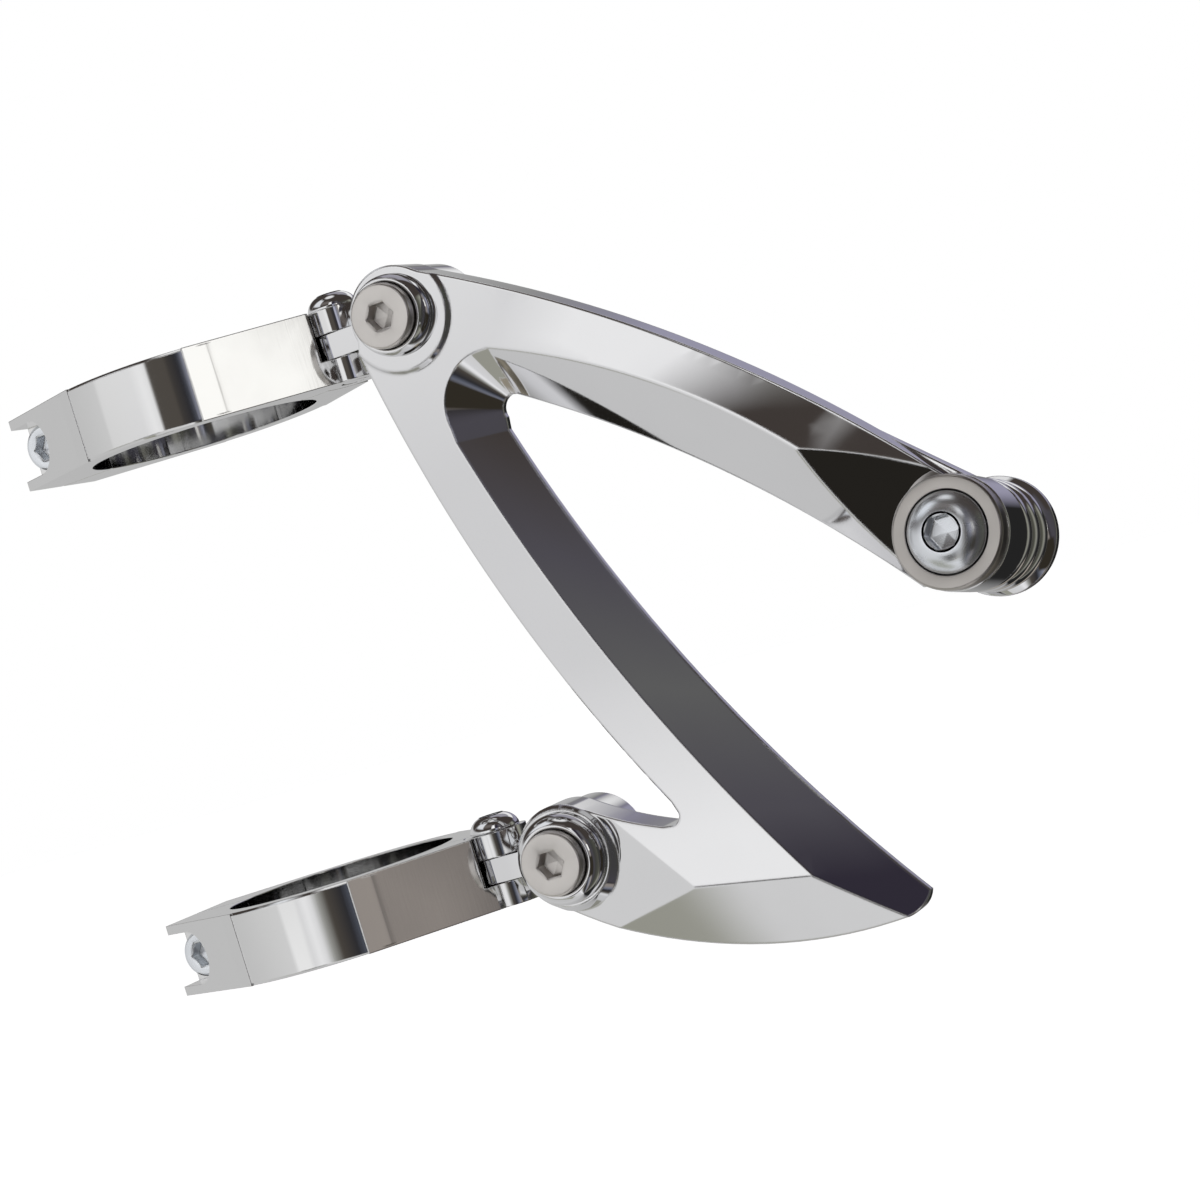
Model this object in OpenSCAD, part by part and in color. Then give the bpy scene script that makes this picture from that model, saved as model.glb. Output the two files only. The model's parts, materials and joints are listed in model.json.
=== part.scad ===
// Headlight mounting bracket, right-hand side, for a telescopic motorcycle fork.
// +Z runs up the fork, +X points forward to the headlight and +Y inboard.
// The origin is on the fork's axis, half way up the upper clamp.
// Two hinged clamps grip the fork; each carries a swivelling link, and the
// arm turns on a bolt through each link and holds the headlight's pivot bolt.

/* [Fork clamps] */
// Diameter of the fork tube
fork_d = 49; // [46:0.5:51]
// Radial thickness of the clamp band
band_t = 5.5; // [4.5:0.25:6]
// Height of a clamp along the fork
clamp_h = 15.4; // [14.4:0.2:18]
// Distance between the middles of the two clamps
clamp_spacing = 112; // [110:0.5:114]
// Opening between the two halves at the pinch screw
split_gap = 0.8; // [0.6:0.1:1.2]
// Distance from the fork's axis to the end of the rear ears
ear_reach = 37.6; // [36.6:0.2:38.6]
// Half width of the outer end of an ear
ear_tip_y = 12.6; // [12:0.2:13.4]
// Radius of the pocket that sinks the pinch screw's head
pocket_r = 5.7; // [5.6:0.05:6]
// Thickness of ear left under the pinch screw's head
pocket_floor = 6; // [5:0.25:6.5]
// Chamfer on the band's top and bottom edges
band_chamfer = 0.5; // [0.3:0.1:0.8]

/* [Hinges] */
// Distance from the fork's axis to the hinge axis
hinge_x = 37.8; // [37:0.2:39]
// Radius of the clamp's hinge knuckles
knuckle_r = 6.5; // [6.3:0.1:6.8]
// Height of each knuckle
knuckle_h = 5; // [4.6:0.1:5.4]
// Radius of the link's barrel
barrel_r = 6; // [5.7:0.1:6.2]
// Radius of the hinge screw's shank
hinge_screw_r = 2.95; // [2.7:0.05:3]
// Radius of the hinge screw's head
hinge_head_r = 5.25; // [5:0.05:5.6]
// Height of the hinge screw's domed head
hinge_head_h = 3.3; // [2.9:0.1:3.6]
// Clearance of the swivels
run_fit = 0.06; // [0.03:0.01:0.09]
// Swing of a link to either side, in degrees
swing = 50; // [44:1:50]
// Opening of a jaw on its hinge, in degrees
jaw_opening = 3; // [2:0.5:3]

/* [Pinch screws] */
// Radius of the pinch screw's shank
pinch_screw_r = 2.9; // [2.6:0.05:3]
// Radius of the pinch screw's head
pinch_head_r = 5; // [4.8:0.05:5.2]
// Height of the pinch screw's head
pinch_head_h = 6; // [5:0.2:6.6]
// Distance from the ear's end to the pinch screw
ear_edge = 7; // [6.6:0.1:7.4]
// Length of the pinch screw past the middle of the clamp
pinch_screw_end = 11.5; // [11:0.1:12]

/* [Links] */
// Distance from the hinge axis to the arm's bolts
link_reach = 22.2; // [21.6:0.2:23]
// Radius of the link's eye
link_eye_r = 9.6; // [9.2:0.1:10]
// Position of the link eye's outer face
link_face_y = -8.4; // [-8.8:0.1:-8]
// Thickness of the link's eye across the fork
link_eye_t = 9.6; // [8.6:0.2:12]
// Radius of the blend between the bar and the eye
link_blend_r = 3; // [2:0.25:3.5]

/* [Arm] */
// Thickness of the arm's plate
arm_t = 9; // [8.4:0.1:9.4]
// Clearance between the arm and the link's eye
arm_gap = 0.1; // [0.05:0.05:0.2]
// Radius of the arm's upper eye
upper_eye_r = 9.8; // [9.4:0.1:10.2]
// Radius of the arm's lower eye
lower_eye_r = 10.5; // [10.1:0.1:10.9]
// Bore radius of the arm's eyes
arm_bore_r = 6; // [5.6:0.1:6.4]
// Radius of the raised pad around the upper eye
upper_pad_r = 11.2; // [10.8:0.1:11.6]
// Radius of the raised pad around the lower eye
lower_pad_r = 9.8; // [9.6:0.1:10.2]
// Height of the raised pads
pad_h = 1.1; // [0.8:0.1:1.4]
// Width of the square land behind the wide bevels
bevel_land = 1.4; // [1:0.1:2]
// Height of the lower lug's face under the eye's middle
lug_face_h = 8.6; // [8:0.1:9]
// Width of the wide bevel under the lower lug
lug_bevel_w = 14; // [13:0.2:15]
// Depth of the wide bevel under the lower lug
lug_bevel_d = 5; // [4:0.1:5.6]
// Slope of the lower lug's face towards its eye, in degrees
lug_facet = 8; // [6:0.5:9]
// Slope that the upper arm's face has twisted to at its far end, in degrees
twist = 20; // [16:0.5:22]
// Slope at which the sweep down to the end boss begins, in degrees
sweep_slope = 18; // [16:0.5:20]
// Slope that the sweep still has at the end boss, in degrees
sweep_end = 8; // [6:0.5:9]

/* [Headlight end] */
// Distance forward from the fork's axis to the headlight bolt
light_x = 154.6; // [153.4:0.1:156]
// Height of the headlight bolt under the upper clamp
light_drop = 73.1; // [72.1:0.1:74.1]
// Tilt of the headlight bolt, its inboard end down, in degrees
light_tilt = 7.5; // [6:0.5:9]
// Radius of the arm's end boss
light_boss_r = 11; // [10.8:0.1:11.4]
// Position of the end boss's outer face
light_boss_y = -14.4; // [-14.8:0.1:-14]
// Position of the end boss's inner face
light_seat_y = -3; // [-4:0.1:-2]
// Radius of the headlight bolt's shoulder
light_bolt_r = 5.5; // [5.3:0.05:5.6]
// Radius of the headlight bolt's thread
light_thread_r = 4.9; // [4.8:0.02:4.94]
// Radius of the headlight bolt's head
light_head_r = 7.7; // [7.5:0.05:7.9]
// Height of the headlight bolt's domed head
light_head_h = 4.8; // [4.4:0.1:5.2]
// Thickness of the cup washer
cup_t = 3.6; // [3.2:0.1:4]
// Radius of the cup washer
cup_r = 10.8; // [10.6:0.1:11]
// Depth of the seat for the bolt's head
cup_depth = 1.8; // [1.4:0.1:2.2]
// Radius of the spacer rings
spacer_r = 10.9; // [10.5:0.1:11.3]
// Thickness of one spacer ring
spacer_t = 5; // [4.4:0.1:5.4]
// Radius of the flange washer against the headlight
flange_r = 11.7; // [11.4:0.1:12.4]
// Thickness of the flange washer
flange_t = 3.4; // [3:0.1:3.8]
// Thread of the headlight bolt that stands free
light_thread = 16; // [12:0.5:20]

/* [Collars and cap bolts] */
// Radius of the cap bolt's shank
cap_shank_r = 3.95; // [3.7:0.05:4]
// Radius of the cap bolt's low head
cap_head_r = 6.5; // [6.4:0.05:6.6]
// Height of the cap bolt's low head
cap_head_h = 5; // [4.6:0.1:5.2]
// Height of the cap bolt's head above the collar
cap_proud = 2.4; // [2:0.1:2.6]
// Radius of the upper domed collar
upper_collar_r = 8.2; // [8:0.1:8.6]
// Radius of the lower domed collar
lower_collar_r = 9.2; // [8.8:0.1:9.6]
// Height of the domed collars above the pad
collar_h = 3.9; // [3.6:0.1:4.2]

/* [Hidden] */
fork_r = fork_d / 2;
band_r = fork_r + band_t;
half_h = clamp_h / 2;
pinch_x = ear_reach - ear_edge;
tongue_h = clamp_h - 2 * knuckle_h - 0.3;
hollow_r = knuckle_r + 0.4;
web_a = 50;                                   // the web leaves the band at this angle
web_end = hinge_x - 1.8;
eye_x = hinge_x + link_reach;
low_z = -clamp_spacing;
reach = light_x - eye_x;
rear_y = link_face_y - arm_gap;               // the arm's inboard face
front_y = rear_y - arm_t;                     // the arm's outer face
pad_y = front_y - pad_h;
collar_seat_y = pad_y - arm_gap;
collar_top_y = collar_seat_y - collar_h;
cap_top_y = collar_top_y - cap_proud;
bush_r = arm_bore_r - run_fit;
light_z = -light_drop;
cup_y = light_boss_y - cup_t;                 // the cup washer's outer face
head_seat_y = cup_y + cup_depth;
spacers = 3;
flange_y = light_seat_y + spacers * spacer_t; // the flange washer's outer face
light_y = flange_y + flange_t;                // the headlight sits here
ridge_land = 0.4;                             // the narrow flat along the ridge
lug_slope = 8.5;                              // turn of the lug's bevel, in degrees
sweep_turn = 80;                              // turn of the sweep, along the ridge, in degrees
sweep_len = 24;                                // length of the sweep's curve
sweep_reach = 50;                              // how far the sweep runs on past the ridge's end
pad_root = 4.5;                                // depth of the pads under the outer face
groove_w = 1;                                 // the groove between the bolt's shoulder and its thread
chrome = [0.80, 0.80, 0.81];
zinc = [0.72, 0.75, 0.78];
satin = [0.70, 0.68, 0.65];

// Points of the circle through p, q and r, from share t0 to share t1 of the way from p to r.
function arc3(p, q, r, n, t0 = 0, t1 = 1) =
    let(d = 2 * (p.x * (q.y - r.y) + q.x * (r.y - p.y) + r.x * (p.y - q.y)),
        pp = p * p, qq = q * q, rr = r * r,
        c = [(pp * (q.y - r.y) + qq * (r.y - p.y) + rr * (p.y - q.y)) / d,
             (pp * (r.x - q.x) + qq * (p.x - r.x) + rr * (q.x - p.x)) / d],
        rad = norm(p - c),
        a0 = atan2(p.y - c.y, p.x - c.x),
        turn = (q.x - p.x) * (r.y - p.y) - (q.y - p.y) * (r.x - p.x) > 0 ? 1 : -1,
        raw = atan2(r.y - c.y, r.x - c.x) - a0,
        sweep = turn > 0 ? (raw < 0 ? raw + 360 : raw) : (raw > 0 ? raw - 360 : raw))
    [for (i = [0:n]) let(a = a0 + sweep * (t0 + (t1 - t0) * i / n)) c + rad * [cos(a), sin(a)]];

// A cylinder along +Y from y0 to y1.
module rod_y(r, y0, y1, r2 = undef, n = 96)
    translate([0, y0, 0]) rotate([-90, 0, 0]) cylinder(r1 = r, r2 = is_undef(r2) ? r : r2, h = y1 - y0, $fn = n);

// Puts what is drawn round the Y axis onto the tilted headlight bolt's axis.
module at_light()
    translate([light_x, light_boss_y, light_z]) rotate([-light_tilt, 0, 0]) translate([0, -light_boss_y, 0])
        children();

// An XZ outline made solid from y0 to y1.
module slab_y(points, y0, y1)
    translate([0, y1, 0]) rotate([90, 0, 0]) linear_extrude(y1 - y0) polygon(points);

// A YZ profile made solid along +X.
module bar_x(points, len)
    rotate([90, 0, 90]) linear_extrude(len) polygon(points);

// A six-sided socket along +Y, open at y0.
module hex_socket(across, y0, depth)
    translate([0, y0 - 0.01, 0]) rotate([-90, 0, 0]) cylinder(r = across / sqrt(3), h = depth, $fn = 6);

// Fork clamps.

// The band, its front web and its rear ear, on the -Y side.
module half_blank() {
    difference() {
        union() {
            cylinder(r1 = band_r - band_chamfer, r2 = band_r, h = band_chamfer, $fn = 180);
            translate([0, 0, band_chamfer]) cylinder(r = band_r, h = clamp_h - 2 * band_chamfer, $fn = 180);
            translate([0, 0, clamp_h - band_chamfer])
                cylinder(r1 = band_r, r2 = band_r - band_chamfer, h = band_chamfer, $fn = 180);
            linear_extrude(clamp_h) polygon([[0, 0], [fork_r * cos(web_a), -web_y(fork_r * cos(web_a))],
                [web_end, -web_y(web_end)], [web_end, 0]]);
            linear_extrude(clamp_h) polygon([[0, 0], [-ear_reach, 0], [-ear_reach, -ear_tip_y],
                ear_tangent()]);
        }
        translate([0, 0, -1]) cylinder(r = fork_r, h = clamp_h + 2, $fn = 180);
        translate([-100, -split_gap / 2, -1]) cube([200, 100, clamp_h + 2]);
        translate([hinge_x, 0, -1]) cylinder(r = hollow_r, h = clamp_h + 2, $fn = 96);
        translate([hinge_x, 0, -1]) rotate([0, 0, -swing - jaw_opening])
            translate([0, -barrel_r - 0.3, 0]) cube([20, 2 * barrel_r, clamp_h + 2]);
    }
}

// Where the ear's outer face leaves the band.
function ear_tangent() =
    let(r = band_r - 0.05, d = norm([ear_reach, ear_tip_y]), a = 180 + atan2(ear_tip_y, ear_reach) + acos(r / d))
    r * [cos(a), sin(a)] + 4 * [-sin(a), cos(a)];

// The knuckle and the web that reaches it, from height 0 to knuckle_h.
module knuckle() {
    difference() {
        union() {
            cylinder_at(hinge_x, knuckle_r, knuckle_h);
            linear_extrude(knuckle_h) polygon([[web_end - 8, -split_gap / 2], [web_end - 8, -web_y(web_end - 8)],
                [hinge_x - 0.2, -web_y(hinge_x - 0.2)], [hinge_x + 0.6, -knuckle_r + 0.1], [hinge_x, 0]]);
        }
        translate([0, 0, -1]) cylinder(r = fork_r + 0.01, h = clamp_h, $fn = 180);
    }
}
// Half width of the front web at x; the web lies a hair inside the band where it leaves it.
function web_y(x) = (band_r - 0.05 - x * cos(web_a)) / sin(web_a);
module cylinder_at(x, r, h) translate([x, 0, 0]) cylinder(r = r, h = h, $fn = 96);

// The outer half: lower knuckle, pocket for the pinch screw's head.
module clamp_jaw() {
    translate([0, 0, -half_h]) difference() {
        union() { half_blank(); knuckle(); }
        translate([hinge_x, 0, -1]) cylinder(r = hinge_screw_r + 0.05, h = knuckle_h + 2, $fn = 64);
        translate([-pinch_x, -50, half_h]) {
            rod_y(pocket_r, 0, 50 - split_gap / 2 - pocket_floor);
            translate([-20, 0, -pocket_r]) cube([20, 50 - split_gap / 2 - pocket_floor, 2 * pocket_r]);
            rod_y(pinch_screw_r + 0.55, 0, 60, n = 64);
        }
    }
}

// The inner half: upper knuckle, tapped ear.
module clamp_body() {
    translate([0, 0, -half_h]) difference() {
        translate([0, 0, clamp_h]) rotate([180, 0, 0]) union() { half_blank(); knuckle(); }
        translate([hinge_x, 0, clamp_h - knuckle_h - 1])
            cylinder(r = hinge_screw_r + 0.1, h = knuckle_h + 2, $fn = 64);
        translate([-pinch_x, 0, half_h]) rod_y(pinch_screw_r + 0.08, 0, 50, n = 64);
    }
}

module pinch_screw() {
    seat = -split_gap / 2 - pocket_floor;
    translate([-pinch_x, 0, 0]) difference() {
        union() {
            rod_y(pinch_screw_r, seat, pinch_screw_end);
            rod_y(pinch_head_r, seat - pinch_head_h + 0.5, seat);
            rod_y(pinch_head_r - 0.5, seat - pinch_head_h, seat - pinch_head_h + 0.5, pinch_head_r);
        }
        hex_socket(5, seat - pinch_head_h, 3);
    }
}

module hinge_screw() {
    translate([hinge_x, 0, 0]) difference() {
        union() {
            translate([0, 0, -half_h]) cylinder(r = hinge_screw_r, h = clamp_h + 0.1, $fn = 96);
            translate([0, 0, half_h]) dome(hinge_head_r, hinge_head_h, 0.6);
        }
        translate([0, 0, half_h + hinge_head_h - 2.1]) cylinder(r = 4 / sqrt(3), h = 3, $fn = 6);
    }
}

// A button head: a short rim, then a round top down to a small flat.
module dome(r, h, rim) {
    flat = r * 0.42;
    rotate_extrude($fn = 120) polygon(concat([[0, 0], [r, 0]],
        arc3([r, rim], [r * 0.82, rim + (h - rim) * 0.62], [flat, h], 16), [[0, h]]));
}

// Links.

// A swivel barrel, a bar and the eye that the arm turns on.
module link() {
    difference() {
        union() {
            translate([hinge_x, 0, -tongue_h / 2]) cylinder(r = barrel_r, h = tongue_h, $fn = 96);
            translate([hinge_x, -barrel_r, -tongue_h / 2]) cube([link_reach - 4, 2 * barrel_r, tongue_h]);
            translate([eye_x, 0, 0]) rod_y(link_eye_r, link_face_y, link_face_y + link_eye_t);
            link_blend();
            mirror([0, 0, 1]) link_blend();
        }
        translate([hinge_x, 0, -10]) cylinder(r = hinge_screw_r + run_fit, h = 20, $fn = 64);
        translate([eye_x, 0, 0]) rod_y(cap_shank_r + 0.05, link_face_y - 1, link_face_y + link_eye_t + 1, n = 64);
    }
}

// The concave blend from the bar's flat up to the eye.
module link_blend() {
    cz = tongue_h / 2 + link_blend_r;
    cx = sqrt(pow(link_eye_r + link_blend_r, 2) - cz * cz);
    translate([eye_x, 0, 0]) difference() {
        slab_y([[-cx, 0], [-cx, tongue_h / 2], [-cx * link_eye_r / (link_eye_r + link_blend_r),
            cz * link_eye_r / (link_eye_r + link_blend_r)], [0, 0]], -barrel_r, min(barrel_r, link_face_y + link_eye_t));
        translate([-cx, 0, cz]) rod_y(link_blend_r, -20, 20);
    }
}

// Collars and cap bolts.

// Domed collar with the sleeve that the arm turns on; the bolt's head sits in its top.
module collar(r) {
    flat = cap_head_r + 0.75;
    translate([eye_x, 0, 0]) difference() {
        union() {
            rod_y(bush_r, collar_seat_y, link_face_y);
            translate([0, collar_seat_y, 0]) rotate([90, 0, 0]) rotate_extrude($fn = 120)
                polygon(concat([[0, 0], [r - 0.4, 0]],
                    arc3([r, 0.5], [r - (r - flat) * 0.28, collar_h * 0.66], [flat, collar_h], 12), [[0, collar_h]]));
        }
        rod_y(cap_head_r + 0.25, collar_top_y - 1, cap_top_y + cap_head_h);
        rod_y(cap_shank_r + 0.12, collar_top_y - 1, link_face_y + 1, n = 64);
    }
}

module cap_bolt() {
    translate([eye_x, 0, 0]) difference() {
        union() {
            rod_y(cap_shank_r, cap_top_y + 1, link_face_y + link_eye_t);
            rod_y(cap_head_r - 0.35, cap_top_y, cap_top_y + 0.35, cap_head_r);
            rod_y(cap_head_r, cap_top_y + 0.35, cap_top_y + cap_head_h);
        }
        hex_socket(5, cap_top_y, 3);
    }
}

// Arm.

// A point of the arm, as shares of the way from the eyes to the headlight bolt and from eye to eye.
function at(u, v) = [eye_x + u * reach, v * low_z];

// The arm's outer outline in XZ, taken round from the upper eye.
arm_outline = concat(
    [for (i = [0:52]) let(a = 50 + 145 * i / 52) [eye_x, 0] + upper_eye_r * [cos(a), sin(a)]],
    arc3([eye_x - 10.3, -6], at(0.042, 0.536), at(0.267, 0.956), 24),
    arc3(at(0.275, 0.977), at(0.27, 0.99), at(0.253, 0.996), 24),
    arc3(at(0.232, 0.994), at(0.131, 0.957), [eye_x + 4.6, low_z + lower_eye_r - 1.1], 8),
    [for (i = [0:60]) let(a = 72 + 168 * i / 60) [eye_x, low_z] + lower_eye_r * [cos(a), sin(a)]],
    arc3([eye_x - 3.6, low_z - 10.9], at(0.295, 1.229), at(0.642, 1.256), 20),
    arc3(at(0.67, 1.254), at(0.71, 1.238), at(0.723, 1.205), 20),
    [[light_x - 6.6, light_z - 7.6], [light_x, light_z - 9.4], [light_x + 8.6, light_z + 4]],
    arc3([light_x + 2.3, light_z + 9.6], at(0.59, 0.216), [eye_x + 7.6, 6.6], 28));

// The upper arm's ridge, where its twisted face meets the slot's bevel.
function ridge_line(n, t1) = arc3(at(0.176, 0.108), at(0.473, 0.241), at(0.756, 0.446), n, 0, t1);

// The slot between the upper arm and the strut: its rim on the outer face ...
slot_front = concat(
    arc3(at(0.043, 0.246), at(0.222, 0.674), at(0.513, 1.137), 26, 1.25, 0),
    arc3(at(0.041, 0.222), at(0.071, 0.136), at(0.151, 0.108), 30),
    ridge_line(30, 1.4), [at(1.791, 1.161), at(1.791, 1.875)]);
// ... and its through outline, in step with the rim, which the bevels run down to.
slot_rear = concat(
    arc3(at(0.13, 0.25), at(0.332, 0.688), at(0.711, 1.212), 26, 1.12, 0),
    arc3(at(0.133, 0.228), at(0.141, 0.2), at(0.159, 0.193), 30),
    arc3(at(0.173, 0.196), at(0.516, 0.404), at(0.895, 0.727), 29),
    [[light_x - 3.6, light_z - 9.4], at(1.77, 1.473), at(1.77, 1.83)]);

// An XZ outline as a ring of points at y.
function ring_y(points, y) = [for (p = points) [p.x, y, p.y]];

// A closed solid through rings of equally many points.
module skin(rings) {
    n = len(rings[0]);
    last = len(rings) - 1;
    sides = [for (k = [0:last - 1], i = [0:n - 1]) let(a = k * n + i, b = k * n + (i + 1) % n)
        each [[a, b + n, b], [a, a + n, b + n]]];
    polyhedron([for (ring = rings) each ring],
        concat([[for (i = [0:n - 1]) i]], sides, [[for (i = [n - 1:-1:0]) last * n + i]]));
}

module slot_cut() {
    bevels = 4;
    bevel_y = rear_y - bevel_land;
    skin(concat([ring_y(slot_front, front_y - 2)],
        [for (k = [0:bevels]) let(t = k / bevels)
            ring_y((1 - t) * slot_front + t * slot_rear, (1 - t) * front_y + t * bevel_y)],
        [ring_y(slot_rear, light_seat_y + 8)]));
}

// The part in front of the upper arm's outer face, which twists from flat at the eye to its full slope.
module twist_cut() {
    steps = 32;
    columns = 8;
    width = 22;
    line = ridge_line(steps, 1.4);
    skin([for (i = [0:steps - 1])
        let(along = (line[i + 1] - line[i]) / norm(line[i + 1] - line[i]), out = [-along.y, along.x],
            slope = min(twist, twist * 1.4 * i / steps) - 0.4,
            across = [for (j = [0:columns]) j * width / columns],
            foot = [for (w = across) line[i] + (ridge_land + w) * out])
        concat([[foot[0].x, front_y - 3, foot[0].y]],
            [for (j = [0:columns]) [foot[j].x, front_y + across[j] * tan(slope), foot[j].y]],
            [[foot[columns].x, front_y - 3, foot[columns].y]])]);
}

// Removes what stands outside a facet that leaves the outer face along the line p to q.
module facet_cut(p, q, deg, reach, over = 40) {
    a = atan2(q.y - p.y, q.x - p.x);
    translate([p.x, front_y, p.y]) rotate([0, -a, 0]) translate([-over, 0, 0])
        bar_x([[0, 0], [reach * tan(deg), reach], [-12, reach], [-12, 0]], norm(q - p) + 2 * over);
}

// The wide bevel under the lower lug.
module lug_bevel() {
    translate([eye_x, front_y, low_z - lug_face_h]) rotate([0, lug_slope, 0]) translate([-10, 0, 0])
        bar_x([[-6, 0], [0, 0], [lug_bevel_d, -lug_bevel_w],
            [3 * lug_bevel_d, -3 * lug_bevel_w], [-6, -3 * lug_bevel_w]], reach);
}

// The raised pad round an eye, kept inside the arm's outline.
module eye_pad(r, z) {
    intersection() {
        translate([eye_x, 0, z]) {
            rod_y(r, pad_y, front_y + 1.6, r + 1.4);
            rod_y(r + 1.4, front_y + 1.6, front_y + pad_root);
        }
        slab_y(arm_outline, pad_y - 1, rear_y);
    }
}

// The sweep that leads the upper arm's faces down to the end boss, from the point where the ridge ends.
module boss_sweep() {
    steps = 14;
    radius = sweep_len / (sin(sweep_slope) - sin(sweep_end));
    depth = radius * (cos(sweep_end) - cos(sweep_slope));
    start = ridge_end();
    translate([start.x - 2, front_y, start.y]) rotate([0, sweep_turn, 0]) linear_extrude(sweep_reach)
        polygon(concat([[-2, -2 * tan(sweep_slope)]],
            [for (i = [0:steps]) let(a = sweep_slope + (sweep_end - sweep_slope) * i / steps)
                radius * [sin(sweep_slope) - sin(a), cos(a) - cos(sweep_slope)]],
            [[2 * sweep_len, depth + sweep_len * tan(sweep_end)], [2 * sweep_len, -10], [-2, -10]]));
}
function ridge_end() = at(0.756, 0.446);

// The neck that carries the end boss inboard of the plate.
module neck() {
    hull() {
        at_light() rod_y(light_boss_r - 0.6, rear_y - 2, light_seat_y - 0.6, n = 32);
        slab_y([at(0.696, 0.299), at(0.769, 0.352), at(0.675, 0.464), at(0.601, 0.415)],
            rear_y - 2, rear_y - 0.5);
    }
}

module arm() {
    difference() {
        union() {
            difference() {
                union() { slab_y(arm_outline, front_y, rear_y); neck(); }
                slot_cut();
                lug_bevel();
                facet_cut(at(0.135, 0.97), at(0.254, 1.103), -lug_facet, -60);
                twist_cut();
                boss_sweep();
            }
            eye_pad(upper_pad_r, 0);
            eye_pad(lower_pad_r, low_z);
            at_light() {
                rod_y(light_boss_r, light_boss_y + 0.4, light_seat_y - 0.5);
                rod_y(light_boss_r - 0.4, light_boss_y, light_boss_y + 0.4, light_boss_r);
                rod_y(light_boss_r, light_seat_y - 0.5, light_seat_y, light_boss_r - 0.5);
            }
        }
        for (z = [0, low_z]) translate([eye_x, 0, z]) rod_y(arm_bore_r, pad_y - 1, rear_y + 1);
        at_light() rod_y(light_bolt_r + 0.15, light_boss_y - 5, light_seat_y + 1);
    }
}

// Headlight end.

module cup_washer() {
    at_light() difference() {
        union() {
            rod_y(cup_r - 0.4, cup_y, cup_y + 0.4, cup_r);
            rod_y(cup_r, cup_y + 0.4, light_boss_y);
        }
        rod_y(light_head_r + 0.4, cup_y - 0.01, head_seat_y, light_head_r + 0.15);
        rod_y(light_bolt_r + 0.2, cup_y, light_boss_y + 1, n = 64);
    }
}

module headlight_bolt() {
    end = light_y + light_thread;
    at_light() difference() {
        union() {
            rod_y(light_bolt_r, head_seat_y - 1, light_y - groove_w / 2);
            rod_y(light_thread_r - 0.7, light_y - 1, light_y + 1);
            rod_y(light_thread_r, light_y + groove_w / 2, end - 1);
            rod_y(light_thread_r, end - 1, end, light_thread_r - 1);
            translate([0, head_seat_y, 0]) rotate([90, 0, 0]) dome(light_head_r, light_head_h, 0.8);
        }
        hex_socket(6, head_seat_y - light_head_h, 3.2);
    }
}

// One spacer ring, its rim rounded so that the stack looks ribbed.
module spacer_ring(i) {
    b = 1.2;
    at_light() translate([0, light_seat_y + i * spacer_t, 0]) rotate([-90, 0, 0]) rotate_extrude($fn = 120)
        polygon(concat([[light_bolt_r + 0.15, 0], [spacer_r - b, 0]],
            arc3([spacer_r - b, 0], [spacer_r, spacer_t / 2], [spacer_r - b, spacer_t], 14),
            [[light_bolt_r + 0.15, spacer_t]]));
}

module flange_washer() {
    at_light() difference() {
        union() {
            rod_y(flange_r - 1.6, flange_y, flange_y + 1.2, flange_r);
            rod_y(flange_r, flange_y + 1.2, light_y - 0.4);
            rod_y(flange_r, light_y - 0.4, light_y, flange_r - 0.4);
        }
        rod_y(light_bolt_r + 0.15, flange_y - 1, light_y + 1, n = 64);
    }
}

module at_low() translate([0, 0, low_z]) children();

module upper_clamp_body() color(chrome) clamp_body();
module upper_clamp_jaw() color(chrome) clamp_jaw();
module upper_pinch_screw() color(zinc) pinch_screw();
module upper_hinge_screw() color(chrome) hinge_screw();
module upper_link() color(chrome) link();
module upper_collar() color(chrome) collar(upper_collar_r);
module upper_cap_bolt() color(satin) cap_bolt();
module lower_collar() color(chrome) at_low() collar(lower_collar_r);
module lower_cap_bolt() color(satin) at_low() cap_bolt();
module lower_link() color(chrome) at_low() link();
module lower_hinge_screw() color(chrome) at_low() hinge_screw();
module lower_clamp_body() color(chrome) at_low() clamp_body();
module lower_clamp_jaw() color(chrome) at_low() clamp_jaw();
module lower_pinch_screw() color(zinc) at_low() pinch_screw();
module spacer_ring_outer() color(chrome) spacer_ring(0);
module spacer_ring_middle() color(chrome) spacer_ring(1);
module spacer_ring_inner() color(chrome) spacer_ring(2);

upper_clamp_body();
upper_clamp_jaw();
upper_pinch_screw();
upper_hinge_screw();
upper_link();
upper_collar();
upper_cap_bolt();
color(chrome) arm();
lower_collar();
lower_cap_bolt();
lower_link();
lower_hinge_screw();
lower_clamp_body();
lower_clamp_jaw();
lower_pinch_screw();
color(satin) cup_washer();
color(zinc) headlight_bolt();
spacer_ring_outer();
spacer_ring_middle();
spacer_ring_inner();
color(chrome) flange_washer();
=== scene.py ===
"""Studio scene of a chromed headlight mounting bracket.

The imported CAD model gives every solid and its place. This script gives each one its finish, shades the facets
smooth, adds the fine turned and threaded detail, and sets the camera, the floor and the studio's light.
Places are in the frame of the CAD model: +Z up the axis that both clamps share, +X towards the far end of the
arm, +Y inboard. The finishes, the camera and the floor are in metres, the turned pieces in millimetres.
"""

import json
import logging
import math
from dataclasses import dataclass
from enum import Enum

import bpy
import numpy as np
from mathutils import Matrix, Vector

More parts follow.
